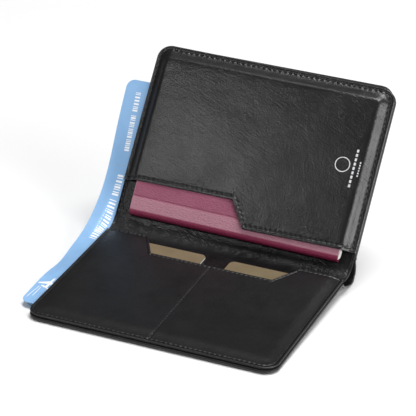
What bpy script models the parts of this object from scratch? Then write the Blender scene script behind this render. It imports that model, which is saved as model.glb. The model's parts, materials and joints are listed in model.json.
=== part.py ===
"""A leather passport holder that stands open like a book, with what it carries in its pockets.

The lower half lies on the table and the upper half leans back. Between them a narrow spine turns
on two fold lines, one at each half, so the holder closes like a bound book and opens flat.
Every half is modelled in its own frame: X runs along the fold, Y away from the fold line, and Z
towards the inside of the holder, with 0 at the surface of the stitched rim.
"""

import math

import bmesh
import bpy
from mathutils import Vector

MM = 0.001
COLLECTION = "passport_holder"

# The holder
WIDTH = 140 * MM
DEPTH = 102.5 * MM
CORNER = 8 * MM
SPINE_WIDTH = 7 * MM
FOLD = math.radians(25.7)

# Layers of a half, from the outer face at -OUTER to the stitched rim at 0
OUTER = 4 * MM
COVER = (-4.0 * MM, -3.2 * MM)
TURNED_EDGE_TOP = -2.6 * MM
TURNED_EDGE_WIDTH = 5 * MM
STIFFENER = (-3.0 * MM, -2.6 * MM)
BACKING = (-2.4 * MM, -2.0 * MM)
LINING = (-1.35 * MM, -0.85 * MM)
PANEL_THICKNESS = 0.65 * MM
GAP = 0.3 * MM

# Where the layers stop, measured from the fold line
LOWER_COVER_START = 2 * MM
UPPER_COVER_START = 7 * MM
BACKING_START = 2 * MM
LINING_START = 2.5 * MM

# Pocket panels: a flat rim, a sloping wall and a raised field over the contents
RIM_WIDTH = 3.2 * MM
SIDE_WALL = 4.0 * MM
END_WALL = 4.7 * MM
PASSPORT_RISE = 4.05 * MM
CARD_RISE = 0.96 * MM
WALL_STEPS = 6

# Mouth of the passport pocket: it steps down once from left to right
MOUTH_HIGH = 22.5 * MM
MOUTH_LOW = 7.5 * MM
MOUTH_STEP_X = (-3.7 * MM, 6.1 * MM)

# Mouth of the card pocket: a wide notch between two high ends
NOTCH_HIGH = 1.6 * MM
NOTCH_LOW = 19.0 * MM
NOTCH_X = (35.5 * MM, 45.0 * MM)

# Stitching
THREAD = 0.45 * MM
THREAD_LIFT = 0.3 * MM
RIM_STITCH_INSET = 1.9 * MM
MOUTH_STITCH_INSET = 2.3 * MM
NOTCH_STITCH_INSET = 1.5 * MM

# Contents
PASSPORT = (125 * MM, 88 * MM)
PASSPORT_START = 2.2 * MM
PASSPORT_LAYER = (-0.65 * MM, 3.15 * MM)
PASSPORT_COVER = 0.6 * MM
PAGE_MARGIN = 1.2 * MM
CARD = (54 * MM, 85.6 * MM)
CARD_CORNER = 3.2 * MM
CARD_LAYER = (-0.65 * MM, 0.11 * MM)
CARD_START = 7.5 * MM
CARD_FROM_CENTRE = 7.1 * MM
PASS_WIDTH = 82 * MM
PASS_ENDS = (-94 * MM, 83 * MM)
PASS_LAYER = (-1.8 * MM, -1.55 * MM)
PASS_CORNER = 5 * MM
PASS_OVERHANG = 11.7 * MM
PASS_SKEW = 0.029

# The spine, in its own frame: Y from the lower fold line to the upper one, Z inwards
SPINE_MID = SPINE_WIDTH / 2
VIRTUAL_CORNER = SPINE_MID * math.tan(FOLD)
BEND_REACH = LINING_START - GAP
BEND_CENTRE = (SPINE_MID + BEND_REACH * math.cos(FOLD)) / math.tan(FOLD) + BEND_REACH * math.sin(FOLD)
BEND_RADIUS = (SPINE_MID + BEND_REACH * math.cos(FOLD)) / math.sin(FOLD)
BEND_STEPS = 12
LOOP_THICKNESS = 0.8 * MM
LOOP_POINTS = [
    (-2.4 * MM, -5.2 * MM),
    (3.0 * MM, -11.4 * MM),
    (8.5 * MM, -15.0 * MM),
    (13.9 * MM, -12.7 * MM),
    (16.2 * MM, -6.3 * MM),
]
LOOP_STEPS = 5
CURVE_STEPS = 6

LEATHER = (0.035, 0.035, 0.038, 1.0)
LEATHER_INSIDE = (0.025, 0.025, 0.027, 1.0)
BOARD = (0.32, 0.27, 0.20, 1.0)
THREAD_BLACK = (0.02, 0.02, 0.02, 1.0)
BURGUNDY = (0.30, 0.06, 0.12, 1.0)
PAGES = (0.85, 0.85, 0.82, 1.0)
CARD_GOLD = (0.36, 0.28, 0.17, 1.0)
PASS_BLUE = (0.38, 0.62, 0.88, 1.0)


def material(name, colour, roughness, metallic=0.0):
    """A Principled material of one colour."""
    mat = bpy.data.materials.new(name)
    mat.use_nodes = True
    shader = mat.node_tree.nodes["Principled BSDF"]
    shader.inputs["Base Color"].default_value = colour
    shader.inputs["Roughness"].default_value = roughness
    shader.inputs["Metallic"].default_value = metallic
    mat.diffuse_color = colour
    return mat


def add(name, data, parent, colour, roughness):
    """A new object of that data in the holder's collection, riding on its empty."""
    obj = bpy.data.objects.new(name, data)
    bpy.data.collections[COLLECTION].objects.link(obj)
    obj.parent = parent
    data.materials.append(material(name, colour, roughness))
    return obj


def empty(name, parent, location, turn):
    """An empty on a fold line, turned about the fold."""
    obj = bpy.data.objects.new(name, None)
    bpy.data.collections[COLLECTION].objects.link(obj)
    obj.parent = parent
    obj.location = location
    obj.rotation_euler = (turn, 0.0, 0.0)
    return obj


def rounded(corners):
    """Points of a closed outline whose corners (x, y, radius) are rounded with arcs."""
    points = []
    count = len(corners)
    for i, (x, y, radius) in enumerate(corners):
        here = Vector((x, y))
        if radius == 0:
            points.append(here)
            continue
        before = (Vector(corners[i - 1][:2]) - here).normalized()
        after = (Vector(corners[(i + 1) % count][:2]) - here).normalized()
        half_angle = before.angle(after) / 2
        centre = here + (before + after).normalized() * (radius / math.sin(half_angle))
        reach = radius / math.tan(half_angle)
        start = here + before * reach - centre
        turn = start.angle_signed(here + after * reach - centre)
        steps = max(2, round(CURVE_STEPS * abs(turn) / (math.pi / 2)))
        for k in range(steps + 1):
            angle = -turn * k / steps
            c, s = math.cos(angle), math.sin(angle)
            points.append(centre + Vector((start.x * c - start.y * s, start.x * s + start.y * c)))
    return points


def outline_curve(name, points, layer):
    """A flat closed outline as a filled 2D curve between two heights."""
    curve = bpy.data.curves.new(name, "CURVE")
    curve.dimensions = "2D"
    curve.fill_mode = "BOTH"
    curve.extrude = (layer[1] - layer[0]) / 2
    spline = curve.splines.new("POLY")
    spline.points.add(len(points) - 1)
    for spline_point, point in zip(spline.points, points):
        spline_point.co = (point.x, point.y, 0.0, 1.0)
    spline.use_cyclic_u = True
    return curve


def sheet(name, parent, points, layer, colour, roughness):
    """A flat sheet of that outline, between the two heights of its layer."""
    obj = add(name, outline_curve(name, points, layer), parent, colour, roughness)
    obj.location.z = (layer[0] + layer[1]) / 2
    return obj


def half_outline(side, start, inset=0.0):
    """Outline of one half: square at the fold, round corners at the free edge."""
    edge = WIDTH / 2 - inset
    far = DEPTH - inset
    radius = CORNER - inset
    return rounded(
        [
            (-edge, side * start, 0),
            (edge, side * start, 0),
            (edge, side * far, radius),
            (-edge, side * far, radius),
        ]
    )


def as_mesh(obj):
    """Replaces a curve object by the same object as a mesh with its caps welded."""
    evaluated = obj.evaluated_get(bpy.context.evaluated_depsgraph_get())
    mesh = bpy.data.meshes.new_from_object(evaluated)
    name, parent, place = obj.name, obj.parent, obj.location.copy()
    colour_of = obj.data.materials[0]
    bpy.data.objects.remove(obj)
    bm = bmesh.new()
    bm.from_mesh(mesh)
    bmesh.ops.remove_doubles(bm, verts=bm.verts, dist=0.01 * MM)
    bmesh.ops.dissolve_limit(bm, angle_limit=math.radians(0.5), verts=bm.verts, edges=bm.edges)
    bm.to_mesh(mesh)
    bm.free()
    mesh.materials.clear()
    mesh.materials.append(colour_of)
    new = bpy.data.objects.new(name, mesh)
    bpy.data.collections[COLLECTION].objects.link(new)
    new.parent = parent
    new.location = place
    return new


def outer_cover(name, parent, side, start):
    """Outer leather of a half. Its edge is turned over, which leaves a shallow bed for the board."""
    layer = (COVER[0], TURNED_EDGE_TOP)
    obj = sheet(name, parent, half_outline(side, start), layer, LEATHER, 0.5)
    bpy.context.view_layer.update()
    obj = as_mesh(obj)
    bm = bmesh.new()
    bm.from_mesh(obj.data)
    top = [f for f in bm.faces if f.normal.z > 0.9]
    bmesh.ops.inset_region(bm, faces=top, thickness=TURNED_EDGE_WIDTH, use_even_offset=True)
    field = max((f for f in bm.faces if f.normal.z > 0.9), key=lambda f: f.calc_area())
    bed = bmesh.ops.extrude_discrete_faces(bm, faces=[field])["faces"]
    drop = Vector((0, 0, COVER[1] - TURNED_EDGE_TOP))
    bmesh.ops.translate(bm, verts=bed[0].verts[:], vec=drop)
    bm.to_mesh(obj.data)
    bm.free()
    return obj


def smooth_step(t):
    """0 to 1 with level ends."""
    t = min(1.0, max(0.0, t))
    return t * t * (3 - 2 * t)


def panel_height(x, reach, rise):
    """Height of a pocket panel's surface at a place on its half."""
    from_side = WIDTH / 2 - RIM_WIDTH - abs(x)
    from_end = DEPTH - RIM_WIDTH - reach
    return rise * smooth_step(from_side / SIDE_WALL) * smooth_step(from_end / END_WALL)


def passport_mouth(x):
    """How far the passport pocket's open edge is from the fold line."""
    t = (x - MOUTH_STEP_X[0]) / (MOUTH_STEP_X[1] - MOUTH_STEP_X[0])
    return MOUTH_HIGH + (MOUTH_LOW - MOUTH_HIGH) * min(1.0, max(0.0, t))


def card_mouth(x):
    """How far the card pocket's open edge is from the fold line."""
    t = (abs(x) - NOTCH_X[0]) / (NOTCH_X[1] - NOTCH_X[0])
    return NOTCH_LOW + (NOTCH_HIGH - NOTCH_LOW) * min(1.0, max(0.0, t))


def free_edge(x):
    """Distance of the half's free edge from the fold line, with its round corners."""
    past = max(0.0, abs(x) - (WIDTH / 2 - CORNER))
    return DEPTH - CORNER + math.sqrt(max(0.0, CORNER**2 - past**2))


def panel_columns(mouth_corners):
    """Places across a panel where its surface needs an edge."""
    wall_foot = WIDTH / 2 - RIM_WIDTH
    wall = [wall_foot - SIDE_WALL * k / WALL_STEPS for k in range(WALL_STEPS + 1)]
    rim = [WIDTH / 2, WIDTH / 2 - 0.25 * MM, WIDTH / 2 - 1.3 * MM]
    right = sorted(rim + wall)
    columns = [-x for x in reversed(right)] + list(mouth_corners) + right
    return sorted(columns)


def pocket_panel(name, parent, side, mouth, mouth_corners, rise):
    """A pocket's front leather, moulded up over what the pocket holds and flat at its stitched rim."""
    wall_foot = DEPTH - RIM_WIDTH
    wall = [wall_foot - END_WALL * (1 - k / WALL_STEPS) for k in range(WALL_STEPS + 1)]
    columns = panel_columns(mouth_corners)
    bm = bmesh.new()
    grid = []
    for x in columns:
        start, end = mouth(x), free_edge(x)
        field = [start + (wall[0] - start) * k / 4 for k in range(4)]
        column = []
        for reach in field + wall + [DEPTH]:
            squeezed = DEPTH - CORNER
            if reach > squeezed:
                reach = squeezed + (reach - squeezed) * (end - squeezed) / CORNER
            height = panel_height(x, reach, rise)
            column.append(bm.verts.new((x, side * reach, height)))
        grid.append(column)
    for left, right in zip(grid, grid[1:]):
        for k in range(len(left) - 1):
            corners = [left[k], right[k], right[k + 1], left[k + 1]]
            bm.faces.new(corners if side > 0 else corners[::-1])
    bmesh.ops.remove_doubles(bm, verts=bm.verts, dist=0.01 * MM)
    mesh = bpy.data.meshes.new(name)
    bm.to_mesh(mesh)
    bm.free()
    obj = add(name, mesh, parent, LEATHER, 0.45)
    solidify(obj, PANEL_THICKNESS, -1)
    return obj


def solidify(obj, thickness, offset):
    """Gives an open surface its thickness."""
    modifier = obj.modifiers.new("thickness", "SOLIDIFY")
    modifier.thickness = thickness
    modifier.offset = offset
    modifier.use_even_offset = True


def strip(name, parent, profile, half_width, thickness, offset, colour, roughness):
    """A sheet bent along a profile of (y, z) points and as wide as the fold."""
    bm = bmesh.new()
    rows = [[bm.verts.new((x, y, z)) for x in (-half_width, half_width)] for y, z in profile]
    for first, second in zip(rows, rows[1:]):
        bm.faces.new([first[0], first[1], second[1], second[0]])
    mesh = bpy.data.meshes.new(name)
    bm.to_mesh(mesh)
    bm.free()
    obj = add(name, mesh, parent, colour, roughness)
    solidify(obj, thickness, offset)
    return obj


def bent(along, depth):
    """(y, z) in the spine's frame of a place on a layer that lies at that depth in both halves.

    along is measured on the inner plane from the middle of the spine. The layers bend about one
    centre and run straight into the halves on both sides.
    """
    radius = BEND_RADIUS - depth
    angle = along / BEND_RADIUS
    extra = 0.0
    if abs(angle) > FOLD:
        angle = math.copysign(FOLD, angle)
        extra = along - angle * BEND_RADIUS
    y = SPINE_MID + radius * math.sin(angle) + extra * math.cos(angle)
    z = BEND_CENTRE - radius * math.cos(angle) + extra * math.sin(angle)
    return y, z


def spline_through(points, steps):
    """A Catmull-Rom curve through points, whose ends lead straight on."""
    points = [Vector(p) for p in points]
    padded = [points[0] * 2 - points[1], *points, points[-1] * 2 - points[-2]]
    out = []
    for a, b, c, d in zip(padded, padded[1:], padded[2:], padded[3:]):
        for k in range(steps):
            t = k / steps
            out.append(
                (b * 2 + (c - a) * t + (a * 2 - b * 5 + c * 4 - d) * t**2 + (b * 3 - a - c * 3 + d) * t**3) / 2
            )
    return out + [points[-1]]


def in_spine_frame(reach, depth, side):
    """(y, z) in the spine's frame of a place on one half: side -1 lower, +1 upper."""
    y, z = reach * math.cos(FOLD) - depth * math.sin(FOLD), reach * math.sin(FOLD) + depth * math.cos(FOLD)
    return (SPINE_WIDTH + y, z) if side > 0 else (-y, z)


def loop_profile():
    """The outer leather's slack between the two covers, as it hangs behind the spine."""
    skin = (COVER[0] + COVER[1]) / 2
    ends = []
    for side, start in ((-1, LOWER_COVER_START), (1, UPPER_COVER_START)):
        near = in_spine_frame(start - GAP, skin, side)
        inner = in_spine_frame(start - GAP - 1.5 * MM, skin, side)
        ends.append((near, inner))
    route = [ends[0][0], ends[0][1], *LOOP_POINTS, ends[1][1], ends[1][0]]
    return spline_through(route, LOOP_STEPS)


def thread(name, parent, points):
    """A run of stitching as one fine cord along the seam."""
    curve = bpy.data.curves.new(name, "CURVE")
    curve.dimensions = "3D"
    curve.bevel_depth = THREAD / 2
    curve.bevel_resolution = 1
    curve.use_fill_caps = True
    spline = curve.splines.new("POLY")
    spline.points.add(len(points) - 1)
    for spline_point, point in zip(spline.points, points):
        spline_point.co = (*point, 1.0)
    return add(name, curve, parent, THREAD_BLACK, 0.7)


def rim_route(side, start, drop=None):
    """The seam round a half's rim, from the fold on the left to the fold on the right."""
    edge = WIDTH / 2 - RIM_STITCH_INSET
    far = DEPTH - RIM_STITCH_INSET
    radius = CORNER - RIM_STITCH_INSET
    loop = rounded([(-edge, start, 0), (edge, start, 0), (edge, far, radius), (-edge, far, radius)])
    route = [loop[0], *reversed(loop[1:])]
    points = [(p.x, side * p.y, THREAD_LIFT) for p in route]
    if drop is None:
        return points
    left, right = drop
    first, last = points[0], points[-1]
    low = LINING[1] + THREAD_LIFT
    head = [(first[0], side * start, low), (first[0], side * (left - GAP), low), (first[0], side * left, THREAD_LIFT)]
    tail = [(last[0], side * right, THREAD_LIFT), (last[0], side * (right - GAP), low), (last[0], side * start, low)]
    return head + points[1:-1] + tail


def mouth_route(mouth, corners, inset, rise, side, ends):
    """The seam that follows a pocket's mouth over the raised panel."""
    stations = sorted({ends[0], *corners, *(x for x in panel_columns(()) if ends[0] < x < ends[1]), ends[1]})
    points = []
    for x in stations:
        reach = mouth(x) + inset
        points.append(Vector((x, side * reach, panel_height(x, reach, rise))))
    lifted = []
    for before, point, after in zip([points[0], *points], points, [*points[1:], points[-1]]):
        run, climb = after.x - before.x, after.z - before.z
        lifted.append(point + Vector((-climb, 0, run)).normalized() * THREAD_LIFT)
    return lifted


def lower_half(parent):
    """Everything of the half that lies on the table."""
    side = -1
    outer_cover("cover_lower", parent, side, LOWER_COVER_START)
    board_inset = TURNED_EDGE_WIDTH + GAP
    board_start = LOWER_COVER_START + board_inset
    sheet("stiffener_lower", parent, half_outline(side, board_start, board_inset), STIFFENER, BOARD, 0.8)
    sheet("backing_lower", parent, half_outline(side, BACKING_START), BACKING, LEATHER_INSIDE, 0.6)
    sheet("lining_lower", parent, half_outline(side, LINING_START), LINING, LEATHER, 0.5)
    corners = [sign * x for x in NOTCH_X for sign in (-1, 1)] + [-12 * MM, 12 * MM]
    pocket_panel("card_panel", parent, side, card_mouth, corners, CARD_RISE)
    card_x = CARD_FROM_CENTRE + CARD[0] / 2
    card_y = side * (CARD_START + CARD[1] / 2)
    for name, x in (("card_left", -card_x), ("card_right", card_x)):
        w, d = CARD[0] / 2, CARD[1] / 2
        corners_of = [(sx * w, sy * d, CARD_CORNER) for sx, sy in ((-1, -1), (1, -1), (1, 1), (-1, 1))]
        card = sheet(name, parent, rounded(corners_of), CARD_LAYER, CARD_GOLD, 0.35)
        card.location.x = x
        card.location.y = card_y
    seam_start = NOTCH_HIGH + NOTCH_STITCH_INSET + THREAD
    thread("thread_rim_lower", parent, rim_route(side, seam_start))
    end = WIDTH / 2 - RIM_STITCH_INSET
    seam = mouth_route(card_mouth, corners, NOTCH_STITCH_INSET, CARD_RISE, side, (-end, end))
    thread("thread_card_mouth", parent, seam)
    divider_start = NOTCH_LOW + NOTCH_STITCH_INSET + 2 * THREAD
    divider_stop = DEPTH - RIM_STITCH_INSET - 2 * THREAD
    wall_foot = DEPTH - RIM_WIDTH
    reaches = [divider_start] + [wall_foot - END_WALL * (1 - k / 4) for k in range(5)] + [divider_stop]
    divider = [(0.0, side * r, panel_height(0.0, r, CARD_RISE) + THREAD_LIFT) for r in reaches]
    thread("thread_divider", parent, divider)


def upper_half(parent):
    """Everything of the half that leans back."""
    side = 1
    outer_cover("cover_upper", parent, side, UPPER_COVER_START)
    board_inset = TURNED_EDGE_WIDTH + GAP
    board_start = UPPER_COVER_START + board_inset
    sheet("stiffener_upper", parent, half_outline(side, board_start, board_inset), STIFFENER, BOARD, 0.8)
    sheet("backing_upper", parent, half_outline(side, BACKING_START), BACKING, LEATHER_INSIDE, 0.6)
    sheet("lining_upper", parent, half_outline(side, LINING_START), LINING, LEATHER, 0.5)
    corners = [*MOUTH_STEP_X, -30 * MM, 30 * MM]
    pocket_panel("passport_panel", parent, side, passport_mouth, corners, PASSPORT_RISE)
    thread("thread_rim_upper", parent, rim_route(side, LINING_START, (MOUTH_HIGH, MOUTH_LOW)))
    end = WIDTH / 2 - RIM_WIDTH
    seam = mouth_route(passport_mouth, corners, MOUTH_STITCH_INSET, PASSPORT_RISE, side, (-end, end))
    thread("thread_passport_mouth", parent, seam)


def passport(parent):
    """The booklet: a cover folded round a block of pages, its spine towards the fold."""
    low, high = PASSPORT_LAYER
    radius = 1.5 * MM
    stop = PASSPORT_START + PASSPORT[1]
    profile = [(stop, high)]
    for corner_z, start_angle in ((high - radius, 90), (low + radius, 180)):
        for k in range(CURVE_STEPS + 1):
            angle = math.radians(start_angle + 90 * k / CURVE_STEPS)
            y = PASSPORT_START + radius + radius * math.cos(angle)
            profile.append((y, corner_z + radius * math.sin(angle)))
    profile.append((stop, low))
    half_width = PASSPORT[0] / 2
    strip("passport_cover", parent, profile, half_width, PASSPORT_COVER, 1, BURGUNDY, 0.55)
    block = (low + PASSPORT_COVER + 0.2 * MM, high - PASSPORT_COVER - 0.2 * MM)
    w = half_width - PAGE_MARGIN
    near, far = PASSPORT_START + PASSPORT_COVER + 0.4 * MM, stop - PAGE_MARGIN
    pages = rounded([(-w, near, 0.4 * MM), (w, near, 0.4 * MM), (w, far, 3 * MM), (-w, far, 3 * MM)])
    sheet("passport_pages", parent, pages, block, PAGES, 0.8)


def spine(parent):
    """The leather between the halves: the slack outer loop and the smooth lining inside it."""
    half_width = WIDTH / 2
    outer = loop_profile()
    strip("spine_outer", parent, outer, half_width, LOOP_THICKNESS, 0, LEATHER, 0.5)
    reach = BEND_RADIUS * FOLD
    depth = (LINING[0] + LINING[1]) / 2
    inner = [bent(reach * (2 * k / BEND_STEPS - 1), depth) for k in range(BEND_STEPS + 1)]
    strip("spine_lining", parent, inner, half_width, LINING[1] - LINING[0], 0, LEATHER, 0.45)


def pass_left(along):
    """Where the boarding pass's left edge is: it went in a little askew."""
    return -WIDTH / 2 - PASS_OVERHANG - PASS_SKEW * along


def boarding_pass(parent):
    """The pass in the long pocket behind the lining. It bends with the spine and shows on the left."""
    first, last = PASS_ENDS
    corners = []
    for along, is_left in ((first, False), (last, False), (last, True), (first, True)):
        x = pass_left(along) + (0.0 if is_left else PASS_WIDTH)
        corners.append((x, along, PASS_CORNER))
    obj = sheet("boarding_pass", parent, rounded(corners), PASS_LAYER, PASS_BLUE, 0.5)
    bpy.context.view_layer.update()
    obj = as_mesh(obj)
    mid_layer = obj.location.z
    obj.location.z = 0.0
    bm = bmesh.new()
    bm.from_mesh(obj.data)
    arc = BEND_RADIUS * FOLD
    for k in range(BEND_STEPS + 1):
        cut = arc * (2 * k / BEND_STEPS - 1)
        geometry = bm.verts[:] + bm.edges[:] + bm.faces[:]
        bmesh.ops.bisect_plane(bm, geom=geometry, plane_co=(0, cut, 0), plane_no=(0, 1, 0))
    for vert in bm.verts:
        y, z = bent(vert.co.y, vert.co.z + mid_layer)
        vert.co.y, vert.co.z = y, z
    bm.to_mesh(obj.data)
    bm.free()


def tilt():
    """The lower half slopes because its fold end rests on the loop and its free edge on the table."""
    edge = Vector((-DEPTH, -OUTER))
    steepest = 0.0
    c, s = math.cos(FOLD), math.sin(FOLD)
    for y, z in loop_profile():
        under = Vector((y * c - z * s, y * s + z * c)) - edge
        steepest = max(steepest, math.atan2(-under.y + LOOP_THICKNESS / 2, under.x))
    return steepest


def build():
    """Puts the empties where the holder stands open, and fills them."""
    for obj in list(bpy.data.objects):
        bpy.data.objects.remove(obj)
    bpy.context.scene.collection.children.link(bpy.data.collections.new(COLLECTION))
    slope = tilt()
    lean = slope + 2 * FOLD
    second_fold = Vector((math.cos(slope + FOLD), math.sin(slope + FOLD))) * SPINE_WIDTH
    far_edge = second_fold.x + DEPTH * math.cos(lean) + OUTER * math.sin(lean)
    shift_x = -(pass_left(PASS_ENDS[1]) + WIDTH / 2) / 2
    shift_y = (DEPTH * math.cos(slope) - far_edge) / 2
    height = DEPTH * math.sin(slope) + OUTER * math.cos(slope)
    lower = empty("lower_half", None, (shift_x, shift_y, height), slope)
    middle = empty("spine", lower, (0, 0, 0), FOLD)
    upper = empty("upper_half", middle, (0, SPINE_WIDTH, 0), FOLD)
    lower_half(lower)
    spine(middle)
    boarding_pass(middle)
    upper_half(upper)
    passport(upper)


build()
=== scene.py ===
"""The leather passport holder, standing open on a pale table, with everything its pockets carry."""

import json
import math
import random

import bmesh
import bpy
import numpy as np
from mathutils import Matrix, Vector, noise


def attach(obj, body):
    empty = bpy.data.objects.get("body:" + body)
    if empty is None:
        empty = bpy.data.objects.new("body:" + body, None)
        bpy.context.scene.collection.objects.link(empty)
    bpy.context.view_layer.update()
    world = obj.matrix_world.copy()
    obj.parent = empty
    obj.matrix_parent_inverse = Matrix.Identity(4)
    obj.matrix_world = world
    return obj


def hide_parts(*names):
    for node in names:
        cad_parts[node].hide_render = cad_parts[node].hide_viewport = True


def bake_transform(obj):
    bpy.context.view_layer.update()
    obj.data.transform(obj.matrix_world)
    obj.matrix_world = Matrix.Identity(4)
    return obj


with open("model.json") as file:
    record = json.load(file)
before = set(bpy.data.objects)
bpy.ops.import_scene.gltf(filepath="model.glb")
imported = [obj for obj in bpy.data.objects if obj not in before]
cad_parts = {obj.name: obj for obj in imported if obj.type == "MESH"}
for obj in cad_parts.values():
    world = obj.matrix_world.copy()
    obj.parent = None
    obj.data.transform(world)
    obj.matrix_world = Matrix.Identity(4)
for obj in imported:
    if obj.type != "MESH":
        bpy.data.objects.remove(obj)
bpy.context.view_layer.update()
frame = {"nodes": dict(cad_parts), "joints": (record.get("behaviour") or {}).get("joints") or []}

METRES = 0.001  # places are worked out in millimetres and become metres in to_world
UV_UNIT = 100  # one unit of every UV map is 100 mm of leather or paper
WELD = 0.002 * METRES
SLIVER = 0.0005 * METRES

# ---- the frame
HALVES = ((-1, "lower"), (1, "upper"))
JOINTS = {joint["name"]: joint for joint in frame["joints"]}
FOLD_LOWER = Vector(JOINTS["fold_lower"]["pos_m"])
FOLD_UPPER = Vector(JOINTS["fold_upper"]["pos_m"])


def axes_at(origin, along):
    """A frame with X along the fold, Y in the given direction and Z towards the inside."""
    x = Vector((1, 0, 0))
    y = Vector(along).normalized()
    z = x.cross(y)
    return Matrix.Translation(origin) @ Matrix((x, y, z)).transposed().to_4x4()


LOWER = axes_at(FOLD_LOWER, Vector(JOINTS["card_left_slide"]["axis"]))
UPPER = axes_at(FOLD_UPPER, -Vector(JOINTS["passport_slide"]["axis"]))
SPINE = axes_at(FOLD_LOWER, FOLD_UPPER - FOLD_LOWER)
FOLD = math.radians(-JOINTS["fold_lower"]["range_deg"][0])
SPINE_WIDTH = (FOLD_UPPER - FOLD_LOWER).length / METRES

# ---- sizes, as in the CAD model
WIDTH = 140
DEPTH = 102.5
CORNER = 8
HALF = WIDTH / 2
COVER_OUT = -4.0
COVER_IN = -3.2
COVER_SKIN = COVER_IN - COVER_OUT
TURNED_TOP = -2.6
TURNED_WIDTH = 5
LINING_TOP = -0.85
LINING_UNDER = -1.35
PANEL = 0.65
COVER_START = {-1: 2, 1: 7}  # where the outer leather leaves each half for the loop
RIM_WIDTH = 3.2
SIDE_WALL = 4.0
END_WALL = 4.7
PASSPORT_RISE = 4.05
CARD_RISE = 0.96
CARD_WIDTH = 54
CARD_LENGTH = 85.6
CARD_CORNER = 3.2
CARD_CENTRE = 34.1
MOUTH_HIGH = 22.5
MOUTH_LOW = 7.5
MOUTH_STEP_X = (-3.7, 6.1)
NOTCH_HIGH = 1.6
NOTCH_LOW = 19.0
NOTCH_X = (35.5, 45.0)
RIM_SEAM = 1.9
MOUTH_SEAM = 2.3
NOTCH_SEAM = 1.5
PASS_LAYER = (-1.8, -1.55)
PASS_WIDTH = 82
PASS_ENDS = {-1: -94, 1: 83}
PASS_CORNER = 5
PASS_OVERHANG = 11.7
PASS_SKEW = 0.029  # the pass went in a little askew
UPPER_WIDER = 1.6  # the upper half runs this much further right than the lower one
UPPER_SHORTER = 0.016  # and its right side is this share shorter than its left
MOUTH_RISE = 0.008  # the passport pocket's mouth line climbs to the right
PASSPORT_SHIFT = 1.3
PASSPORT_SKEW = 0.013
STITCH_LIFT = 0.1
STITCH_DIP = 0.1  # both ends of a stitch go down into its holes
STITCH_SUNK = 0.14
RIM_STITCH = (3.1, 2.35)  # pitch and length
MOUTH_STITCH = (2.9, 2.2)
FINE_STITCH = (2.7, 2.05)
SPINE_MID = SPINE_WIDTH / 2
BEND_REACH = 2.2
LOOP_POINTS = [(-2.4, -5.2), (3.0, -11.4), (8.5, -15.0), (13.9, -12.7), (16.2, -6.3)]

RANDOM = random.Random(7)


# ---- mesh helpers
def smooth_step(t):
    """0 to 1 with level ends, for numbers and arrays."""
    t = np.clip(t, 0.0, 1.0)
    return t * t * (3 - 2 * t)


def to_world(matrix, points):
    """Points of shape (..., 3) in one of the frames above, in the row frame."""
    m = np.array(matrix)
    return points @ m[:3, :3].T * METRES + m[:3, 3]


def upper_cut(x, reach, share=1.0):
    """The upper half's leather is cut a little out of square: wider, and shorter on the right."""
    right = (x + HALF) / WIDTH * share
    return x + UPPER_WIDER * right, reach * (1 - UPPER_SHORTER * right)


def on_half(side, x, reach, height, cut=True):
    """Places on the lower (-1) or upper (+1) half: across, away from the fold, above the rim."""
    x, reach, height = np.broadcast_arrays(x, reach, height)
    if side < 0:
        return to_world(LOWER, np.stack([x, -reach, height], -1))
    if cut:
        x, reach = upper_cut(x, reach)
    return to_world(UPPER, np.stack([x, reach, height], -1))


def ripple(x, y, size, seed):
    """Smooth noise between about -1 and 1 over arrays of places, with lumps of that size."""
    out = np.empty(x.shape)
    flat = out.ravel()
    for i, (u, v) in enumerate(zip(x.ravel(), y.ravel())):
        flat[i] = noise.noise(Vector((u / size, v / size, seed)))
    return flat.reshape(x.shape)


def travelled(route):
    """How far along a route each of its points is."""
    return np.concatenate([[0], np.cumsum(np.linalg.norm(np.diff(route, axis=0), axis=1))])


def link(name, data):
    """A new object at the origin, in the scene."""
    obj = bpy.data.objects.new(name, data)
    bpy.context.scene.collection.objects.link(obj)
    return obj


def build(name, points, faces):
    """A new mesh object in the row frame."""
    mesh = bpy.data.meshes.new(name)
    mesh.from_pydata(points.tolist(), [], faces)
    return link(name, mesh)


def ring_faces(rings, count, base=0):
    """Faces of a closed body whose points are rings of that many, one after another."""
    faces = []
    for k in range(rings - 1):
        low, high = base + k * count, base + (k + 1) * count
        for j in range(count):
            n = (j + 1) % count
            faces.append((low + j, low + n, high + n, high + j))
    first, last = range(base, base + count), range(base + (rings - 1) * count, base + rings * count)
    return [*faces, tuple(reversed(first)), tuple(last)]


def lay_uv(mesh, places):
    """A UV map from two lengths for each vertex."""
    corner_verts = np.empty(len(mesh.loops), int)
    mesh.loops.foreach_get("vertex_index", corner_verts)
    layer = mesh.uv_layers.new(name="UVMap")
    layer.data.foreach_set("uv", (places / UV_UNIT)[corner_verts].astype(np.float32).ravel())


def tidy_mesh(obj, sharp=40):
    """Welds coincident points, turns every face outwards and shades smooth up to an angle."""
    bm = bmesh.new()
    bm.from_mesh(obj.data)
    bmesh.ops.remove_doubles(bm, verts=bm.verts, dist=WELD)
    bmesh.ops.dissolve_degenerate(bm, edges=bm.edges, dist=SLIVER)
    bmesh.ops.recalc_face_normals(bm, faces=bm.faces)
    bm.to_mesh(obj.data)
    bm.free()
    obj.data.shade_smooth()
    obj.data.set_sharp_from_angle(angle=math.radians(sharp))
    return obj


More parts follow.
